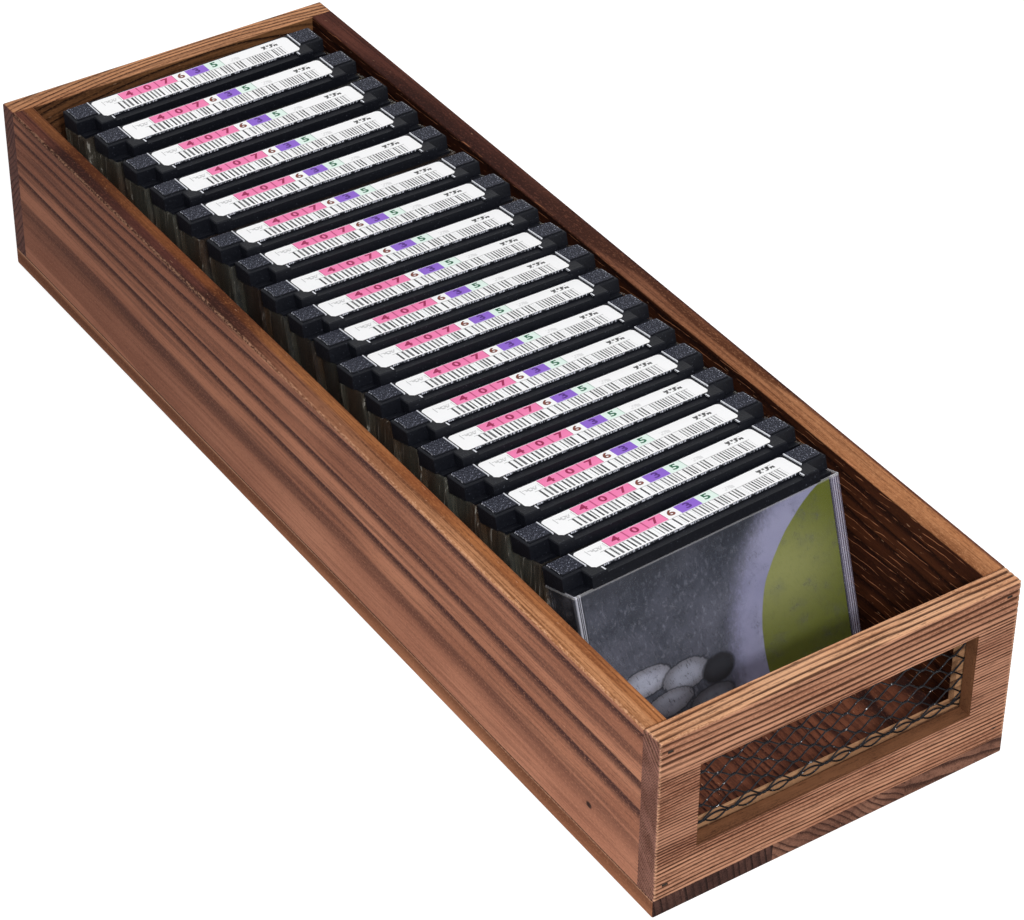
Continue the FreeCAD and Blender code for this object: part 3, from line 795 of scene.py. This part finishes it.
def card_print(standing):
    """The front card's print: an olive sun with a lavender ring over a slate field with pale pebbles."""
    finish = Finish("printed_card", Specular_IOR_Level=0.2)
    x, _, z = finish.parts(finish.place_on(standing))
    weave = finish.noise(finish.vector(x * 0.60, z * 0.34, 0.0), 1.0, 4.0, 0.8)
    hairs = finish.noise(finish.vector(x * 1.3 + z * 0.5, z * 0.32, 5.0), 1.0, 3.0, 0.75)
    blotch = finish.noise(finish.vector(x / 22.0, z / 22.0, 3.0), 1.0, 3.0)
    slate = finish.mix(blotch.rise(0.3, 0.7), (0.026, 0.030, 0.042), (0.088, 0.092, 0.122))
    slate = finish.mix(weave.rise(0.50, 0.72) * 0.60, slate, (0.20, 0.21, 0.26))
    slate = finish.mix(hairs.rise(0.55, 0.66) * 0.55, slate, (0.012, 0.013, 0.017))
    slate = finish.mix(z.rise(52.0, 63.0) * 0.6, slate, (0.020, 0.022, 0.028))
    reach = finish.length(x - 66.0, z - 16.0) + (blotch - 0.5) * 2.0
    fringe = (weave - 0.5) * 12.0
    ring = 1.0 - (reach + fringe).rise(57.0, 68.0)
    lavender = finish.mix(blotch, (0.19, 0.19, 0.33), (0.38, 0.38, 0.53))
    picture = finish.mix(ring * 0.88, slate, lavender)
    # A painted sheen on the olive disc, fading into painted shade towards the card's bottom.
    sheen = finish.length(x - 27.0, z - 32.0).rise(36.0, 4.0)
    olive = finish.mix(sheen * z.rise(2.0, 50.0), (0.110, 0.125, 0.016), (0.270, 0.280, 0.105))
    olive = finish.mix(hairs.rise(0.50, 0.70) * 0.15, olive, (0.05, 0.055, 0.010))
    picture = finish.mix(1.0 - reach.rise(50.9, 51.4), picture, olive)
    for centre_x, centre_z, wide, high, pale in PEBBLES:
        rough = (weave - 0.5) * 0.35
        pebble = finish.length((x - centre_x) / wide, (z - centre_z) / high) + rough
        crown, foot = (pale, pale * 1.05, pale * 1.3), (pale / 2, pale / 2, pale / 1.7)
        stone = finish.mix(pebble.rise(0.3, 1.0), crown, foot)
        stone = finish.mix(hairs.rise(0.58, 0.64) * 0.6, stone, (0.02, 0.02, 0.025))
        picture = finish.mix((1.0 - pebble.rise(1.0, 1.12)) * 0.7, picture, (0.016, 0.017, 0.022))
        picture = finish.mix(1.0 - pebble.rise(0.92, 0.99), picture, stone)
    finish.feed(Base_Color=picture, Roughness=0.4 + 0.2 * weave)
    return finish.material


# Building pieces

def new_piece(name, shape, materials, body):
    """Turns a bmesh into a piece that rides on a body."""
    mesh = bpy.data.meshes.new(name)
    shape.to_mesh(mesh)
    shape.free()
    piece = bpy.data.objects.new(name, mesh)
    bpy.context.scene.collection.objects.link(piece)
    for material in materials:
        mesh.materials.append(material)
    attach(piece, body)
    return piece


def copy_of_node(name):
    """A merged copy of a CAD node's mesh, with its flat faces whole again."""
    shape = bmesh.new()
    shape.from_mesh(frame["nodes"][name].data)
    bmesh.ops.remove_doubles(shape, verts=shape.verts, dist=0.002 * MM)
    bmesh.ops.dissolve_limit(shape, angle_limit=math.radians(0.5), verts=shape.verts, edges=shape.edges)
    return shape


def add_block(shape, low, high, material, bevel=0.0):
    """Adds a block between two corners, in millimetres, with its edges bevelled."""
    low, high = Vector(low) * MM, Vector(high) * MM
    place = Matrix.Translation((low + high) / 2) @ Matrix.Diagonal((*(high - low), 1.0))
    made = bmesh.ops.create_cube(shape, size=1.0, matrix=place)
    faces = {face for vertex in made["verts"] for face in vertex.link_faces}
    for face in faces:
        face.material_index = material
    if bevel:
        edges = {edge for face in faces for edge in face.edges}
        bmesh.ops.bevel(shape, geom=list(edges), offset=bevel * MM, segments=2, profile=0.5,
                        affect="EDGES", material=-1)


def cut_along(shape, axis, values):
    """Divides all faces where they cross an axis at the given values, in millimetres."""
    normal = Vector((0, 0, 0))
    normal[axis] = 1.0
    for value in values:
        geometry = [*shape.verts, *shape.edges, *shape.faces]
        bmesh.ops.bisect_plane(shape, geom=geometry, dist=0.001 * MM, plane_co=normal * (value * MM),
                               plane_no=normal)


def steps(low, high, step):
    """Evenly spaced values between two limits."""
    count = max(1, round((high - low) / step))
    return [low + (high - low) * (number + 0.5) / count for number in range(count)]


def standing_frame(number):
    """The matrix that puts an upright cassette where it stands in the row."""
    lift = next(Vector(joint["axis"]) for joint in frame["joints"] if joint["name"] == "lift_%02d" % number)
    turn = math.atan2(-lift.x, lift.y)
    lean = math.acos(lift.z)
    turned = Matrix.Rotation(turn, 4, "Z") @ Matrix.Rotation(-lean, 4, "X")
    low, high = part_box("case_%02d" % number)
    middle = Vector((0, -CASE_THICKNESS / 2, CASE_HEIGHT / 2)) * MM
    return Matrix.Translation((low + high) / 2) @ turned @ Matrix.Translation(-middle)


def deck_frame(number):
    """The matrix that lays what is drawn level onto a cassette's sloping deck."""
    slope = Matrix.Translation((0, 0, DECK_BACK * MM)) @ Matrix.Rotation(HEAD_SLOPE, 4, "X")
    return standing_frame(number) @ slope


# The cassettes

TOP_VIEW = "top_view"
PRINT_FIELD = "print_field"
PLASTIC, GRIP, LIP, EDGE = range(4)


def level_cassette():
    """One cassette, with its deck level, and the small trim of its head."""
    shape = copy_of_node("cassette_%02d" % LAST_NUMBER)
    bmesh.ops.transform(shape, matrix=deck_frame(LAST_NUMBER).inverted(), verts=shape.verts)
    for face in shape.faces:
        middle = face.calc_center_median() / MM
        on_pad = abs(middle.z - PAD_RISE) < 0.02 and abs(middle.x) > PAD_INNER
        face.material_index = GRIP if on_pad else PLASTIC
    # The inner rib pieces and the ticks take the pale plastic that is a painted highlight; the outer rib
    # pieces and the lip take the lip's painted sparkle.
    for side in (-1, 1):
        inner = side * (PAD_INNER + TRIM_GAP)
        left, right = sorted((inner, inner - side * INNER_RIB_WIDTH))
        add_block(shape, (left, PAD_FRONT - INNER_RIB_REACH, -INNER_RIB_SINK),
                  (right, LABEL_BACK - RIB_BACK_MARGIN, PAD_RISE), EDGE, bevel=0.1)
        outer = side * (PAD_INNER + PAD_WIDTH)
        left, right = sorted((outer, outer - side * OUTER_RIB_WIDTH))
        add_block(shape, (left, PAD_FRONT + OUTER_RIB_SETBACK, 0.0),
                  (right, LABEL_BACK - OUTER_RIB_BACK_MARGIN, PAD_RISE), LIP, bevel=0.08)
        left, right = sorted((side * BLOCK_INNER, side * (BLOCK_INNER + TICK_WIDTH)))
        add_block(shape, (left, -DECK_DEPTH + TICK_SETBACK, -TRIM_SINK),
                  (right, BAND_BACK - RIB_BACK_MARGIN, TICK_RISE), EDGE, bevel=0.15)
    lip_end = BLOCK_INNER - LIP_END_MARGIN
    add_block(shape, (-lip_end, BAND_BACK - LIP_OVERLAP, -TRIM_SINK),
              (lip_end, LABEL_FRONT - TRIM_GAP, LIP_RISE), LIP, bevel=0.08)
    layer = shape.loops.layers.uv.new(TOP_VIEW)
    for face in shape.faces:
        for loop in face.loops:
            loop[layer].uv = loop.vert.co.xy / (10 * MM)
    return shape


def level_label():
    """The paper label in its recess, with the deck level."""
    shape = bmesh.new()
    low = Vector((-LABEL_WIDTH / 2 + LABEL_MARGIN, LABEL_FRONT + LABEL_MARGIN, LABEL_FLOOR))
    high = Vector((LABEL_WIDTH / 2 - LABEL_MARGIN, LABEL_BACK - LABEL_MARGIN, LABEL_FLOOR + LABEL_THICKNESS))
    add_block(shape, low, high, 0)
    uprights = [edge for edge in shape.edges if abs(edge.verts[0].co.z - edge.verts[1].co.z) > 0.1 * MM]
    bmesh.ops.bevel(shape, geom=uprights, offset=LABEL_CORNER * MM, segments=6, profile=0.5,
                    affect="EDGES", material=-1)
    layer = shape.loops.layers.uv.new(PRINT_FIELD)
    for face in shape.faces:
        for loop in face.loops:
            place = loop.vert.co / MM
            loop[layer].uv = ((place.x - low.x) / (high.x - low.x), (place.y - low.y) / (high.y - low.y))
    return shape


def level_numbers():
    """The plain numbers printed in the label's cells."""
    shape = bmesh.new()
    third = (PINK_SHARES[1] - PINK_SHARES[0]) / 3
    row = (CELL_BOTTOM_SHARE + CELL_TOP_SHARE) / 2
    figures = [("4", PINK_SHARES[0] + third * 0.5, 0), ("0", PINK_SHARES[0] + third * 1.5, 0),
               ("7", PINK_SHARES[0] + third * 2.5, 0), ("6", sum(BROWN_SHARES) / 2, 1),
               ("3", sum(PURPLE_SHARES) / 2, 2), ("5", sum(MINT_SHARES) / 2, 3)]
    for figure, share, material in figures:
        text = bpy.data.curves.new("figure", "FONT")
        text.body = figure
        text.align_x = "CENTER"
        text.align_y = "CENTER"
        text.size = FIGURE_SIZE * MM
        text.offset = FIGURE_WEIGHT * MM
        text.extrude = INK_THICKNESS * MM
        text.resolution_u = 3
        holder = bpy.data.objects.new("figure", text)
        flat = bpy.data.meshes.new_from_object(holder)
        place = Vector(((share - 0.5) * LABEL_WIDTH, LABEL_FRONT + LABEL_DEPTH * row,
                        LABEL_FLOOR + LABEL_THICKNESS + INK_THICKNESS)) * MM
        flat.transform(Matrix.Translation(place) @ Matrix.Diagonal((FIGURE_STRETCH, 1.0, 1.0, 1.0)))
        for polygon in flat.polygons:
            polygon.material_index = material
        shape.from_mesh(flat)
        bpy.data.objects.remove(holder)
        bpy.data.meshes.remove(flat)
        bpy.data.curves.remove(text)
    return shape


def dress_cassettes():
    """Each cassette gets its detailed head, its label and its numbers, and the front one its card."""
    plastics = (moulded_plastic(), grip_plastic(TOP_VIEW), lip_plastic(TOP_VIEW), highlight_plastic())
    paper = label_print(PRINT_FIELD)
    inks = (ink("dark_pink_ink", (0.36, 0.015, 0.09)), ink("brown_ink", (0.20, 0.05, 0.03)),
            ink("violet_ink", (0.10, 0.03, 0.25)), ink("green_ink", (0.02, 0.14, 0.07)))
    clear = sleeve_plastic()
    parts = (("cassette_shell", level_cassette(), plastics, "cassette_plastic"),
             ("label", level_label(), (paper,), "card"), ("label_numbers", level_numbers(), inks, "card"))
    for number in CASSETTE_NUMBERS:
        for stem, shape, materials, slot in parts:
            placed = shape.copy()
            bmesh.ops.transform(placed, matrix=deck_frame(number), verts=placed.verts)
            body = "cased_cassette_%02d" % number
            piece = new_piece("%s_%02d" % (stem, number), placed, materials, body)
            if stem == "cassette_shell":
                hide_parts("cassette_%02d" % number)
        repaint(frame["nodes"]["case_%02d" % number], clear)
    for _, shape, _, _ in parts:
        shape.free()
    standing = standing_frame(LAST_NUMBER)
    repaint(frame["nodes"]["case_%02d" % LAST_NUMBER], front_sleeve_plastic(standing))
    repaint(frame["nodes"]["front_card"], card_print(standing))


# The front panel's brushed ridges. Its growth rings slope up to the back, so that one set of rings makes
# the lines on its face, its top and its ends.

GROOVE_FIELD = "groove"
GROOVE_DEPTH = 0.30
RING_SPACING = 1.2
RING_SLOPE = 1.05
RIDGE_STEP = 0.31
PANEL_STEP = 3.4
EDGE_STEP = 0.45
PRESSED_MARGIN = 0.8
FACE_DEPTH = 1.0


def soft_step(value, low, high):
    share = min(1.0, max(0.0, (value - low) / (high - low)))
    return share * share * (3 - 2 * share)


def groove_depth(place, face_y):
    """How deep a ring is brushed out at a place in millimetres, from 0 to 1."""
    wander = 1.5 * noise.noise(Vector((place.x / 80.0, 3.0, place.z / 30.0)))
    wander += 0.35 * noise.noise(Vector((place.x / 19.0, 9.0, place.z / 8.0)))
    level = place.z - RING_SLOPE * (place.y - face_y) + wander
    ring = level / RING_SPACING - 0.43 * max(0.0, level - 58.5) + 0.22 * max(0.0, 21.0 - level)
    phase = ring % 1.0
    weight = 0.45 + 0.55 * abs(noise.noise(Vector((math.floor(ring) * 1.37, 0.5, place.x / 150.0)))) * 2.2
    return min(1.0, weight) * soft_step(phase, 0.30, 0.74) * (1.0 - soft_step(phase, 0.84, 0.98))


def dress_front_panel():
    """The front panel again, cut fine enough for its grooves to be pressed in."""
    low, high = (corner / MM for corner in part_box("front_panel"))
    shape = copy_of_node("front_panel")
    cut_along(shape, 2, steps(low.z, high.z, RIDGE_STEP))
    cut_along(shape, 0, steps(low.x, high.x, PANEL_STEP))
    cut_along(shape, 1, steps(low.y, high.y, EDGE_STEP))
    shape.normal_update()
    field = shape.verts.layers.float.new(GROOVE_FIELD)
    pressed = []
    for vertex in shape.verts:
        place = vertex.co / MM
        depth = groove_depth(place, low.y)
        vertex[field] = depth
        outer = (place.y < low.y + FACE_DEPTH or place.z > high.z - PRESSED_MARGIN
                 or abs(place.x) > high.x - PRESSED_MARGIN)
        if outer:
            pressed.append((vertex, vertex.co - vertex.normal * (depth * GROOVE_DEPTH * MM)))
    for vertex, place in pressed:
        vertex.co = place
    piece = new_piece("brushed_front_panel", shape, (ridged_wood(),), "tray")
    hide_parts("front_panel")


# The netting: wires that run level and twist with the one above and the one below in turn

def twist(middle, level, length, starts_below):
    """One wire's route through a twist: it winds once about the line that the two wires share."""
    points = []
    for step in range(TWIST_STEPS + 1):
        share = step / TWIST_STEPS
        angle = 2 * math.pi * share + (math.pi if starts_below else 0.0)
        points.append((middle + (share - 0.5) * length, TWIST_FLATNESS * WIRE_RADIUS * math.sin(angle),
                       level + WIRE_RADIUS * math.cos(angle)))
    return points


def netting_wire(row, base, half, rows):
    """The route of the wire between two rows of twists, as (run, depth, height) points in millimetres."""
    points = []
    count = math.ceil(half / CELL_WIDTH) * 2 + 2
    for number in range(-count, count + 1):
        upper = (number + row) % 2
        level = base + min(row + upper, rows) * CELL_HEIGHT / 2
        points += twist(number * CELL_WIDTH / 2, level, TWIST_LENGTH, upper)
    return [point for point in points if abs(point[0]) <= half]


def selvage_wire(base, half, bow):
    """An edge wire: it winds into each twist and bows up or down between them."""
    points = []
    for number in range(-math.ceil(half / CELL_WIDTH) - 1, math.ceil(half / CELL_WIDTH) + 2):
        points += twist(number * CELL_WIDTH, base, SELVAGE_TWIST_LENGTH, bow > 0)
        bow_start = number * CELL_WIDTH + SELVAGE_TWIST_LENGTH / 2
        for share in BOW_SHARES:
            run = bow_start + share * (CELL_WIDTH - SELVAGE_TWIST_LENGTH)
            points.append((run, 0.0, base + bow * math.sin(math.pi * share)))
    return [point for point in points if abs(point[0]) <= half]


def dress_netting():
    """Round wires in the place of the flat netting."""
    low, high = (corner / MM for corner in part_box("netting"))
    base = low.z + SELVAGE_RISE
    half = high.x - WIRE_END_MARGIN
    rows = math.floor((high.z - base) / (CELL_HEIGHT / 2))
    depth = (low.y + high.y) / 2
    curve = bpy.data.curves.new("netting_wires", "CURVE")
    curve.dimensions = "3D"
    curve.bevel_depth = WIRE_RADIUS * MM
    curve.bevel_resolution = 1
    curve.use_fill_caps = True
    routes = [netting_wire(row, base, half, rows) for row in range(rows)]
    routes += [selvage_wire(base, half, bow) for bow in (-SELVAGE_SAG, SELVAGE_ARCH)]
    for route in routes:
        spline = curve.splines.new("POLY")
        spline.points.add(len(route) - 1)
        for point, (run, across, height) in zip(spline.points, route):
            point.co = (run * MM, (depth + across) * MM, height * MM, 1.0)
    holder = bpy.data.objects.new("netting_curve", curve)
    mesh = bpy.data.meshes.new_from_object(holder)
    bpy.data.objects.remove(holder)
    shape = bmesh.new()
    shape.from_mesh(mesh)
    piece = new_piece("netting_wires", shape, (wire_steel(),), "tray")
    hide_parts("netting")


def dress_nails():
    steel = nail_steel()
    for node in ("front_brads", "back_brads", "base_brads", "batten_pins"):
        repaint(frame["nodes"][node], steel)


# The studio. The floor's reach, and the lamps' distances and sizes, are in metres.

ROOM_LIGHT = (0.27, 0.27, 0.28)
FLOOR_REACH = 6.0
FLOOR_GLOW = 0.72
FLOOR_GAP = 0.2
OPENING_INSET = 3.0
LAMP_AIM_HEIGHT = 40.0
WHITE = (1.0, 1.0, 1.0)
BLACK = (0.0, 0.0, 0.0)


def make_floor():
    """A pale floor just under the drawer, clear when it is seen from below. It has an opening that the
    drawer hides, so that light reaches the drawer's underside."""
    shape = bmesh.new()
    bmesh.ops.create_grid(shape, x_segments=1, y_segments=1, size=FLOOR_REACH,
                          matrix=Matrix.Translation((0, 0, -FLOOR_GAP * MM)))
    mesh = bpy.data.meshes.new("floor")
    shape.to_mesh(mesh)
    shape.free()
    floor = bpy.data.objects.new("floor", mesh)
    bpy.context.scene.collection.objects.link(floor)
    finish = Finish("pale_floor", Base_Color=(0.5, 0.5, 0.5, 1.0), Roughness=0.9, Specular_IOR_Level=0.0,
                    Emission_Strength=FLOOR_GLOW)
    from_below = finish.wrap(finish.node("ShaderNodeNewGeometry").outputs["Backfacing"])
    x, y, _ = finish.parts(finish.place())
    opening = (x.size() < HALF_WIDTH - OPENING_INSET) * (y.size() < HALF_LENGTH - OPENING_INSET)
    finish.feed(Emission_Color=finish.mix(finish.seen_plainly(), BLACK, WHITE),
                Alpha=(1.0 - from_below) * (1.0 - opening))
    mesh.materials.append(finish.material)


def make_world():
    world = bpy.data.worlds.new("studio")
    bpy.context.scene.world = world
    world.use_nodes = True
    nodes = Nodes(world.node_tree)
    shade = nodes.mix(nodes.seen_plainly(), ROOM_LIGHT, WHITE)
    world.node_tree.links.new(shade.socket, world.node_tree.nodes["Background"].inputs["Color"])


def add_lamp(name, direction, distance, size, brightness):
    """A square softbox that shines on the drawer's middle; a white face turned to it gets the brightness."""
    data = bpy.data.lights.new(name, "AREA")
    data.shape = "RECTANGLE"
    data.size, data.size_y = size
    data.energy = brightness * (math.pi * distance) ** 2
    lamp = bpy.data.objects.new(name, data)
    bpy.context.scene.collection.objects.link(lamp)
    aim = Vector((0, 0, LAMP_AIM_HEIGHT)) * MM
    lamp.location = aim + Vector(direction).normalized() * distance
    lamp.rotation_mode = "QUATERNION"
    lamp.rotation_quaternion = (aim - lamp.location).to_track_quat("-Z", "Y")


def make_lamps():
    add_lamp("key_softbox", (-0.38, -0.72, 0.58), 2.1, (1.0, 1.0), 0.44)
    add_lamp("key_spot", (-0.30, -0.74, 0.62), 2.3, (0.14, 0.14), 0.40)
    add_lamp("top_softbox", (0.20, 0.28, 0.94), 1.8, (1.2, 0.9), 0.38)


def make_camera():
    data = bpy.data.cameras.new("camera")
    data.sensor_width = CAMERA_SENSOR
    data.lens = CAMERA_LENS
    camera = bpy.data.objects.new("camera", data)
    bpy.context.scene.collection.objects.link(camera)
    back = -CAMERA_FORWARD.normalized()
    right = CAMERA_RIGHT.normalized()
    up = back.cross(right)
    turned = Matrix((right, up, back)).transposed().to_4x4()
    camera.matrix_world = Matrix.Translation(CAMERA_PLACE) @ turned
    bpy.context.scene.camera = camera


make_camera()
make_world()
make_lamps()
make_floor()
dress_boards()
dress_nails()
dress_front_panel()
dress_netting()
dress_cassettes()

bpy.context.scene.view_settings.view_transform = "Standard"
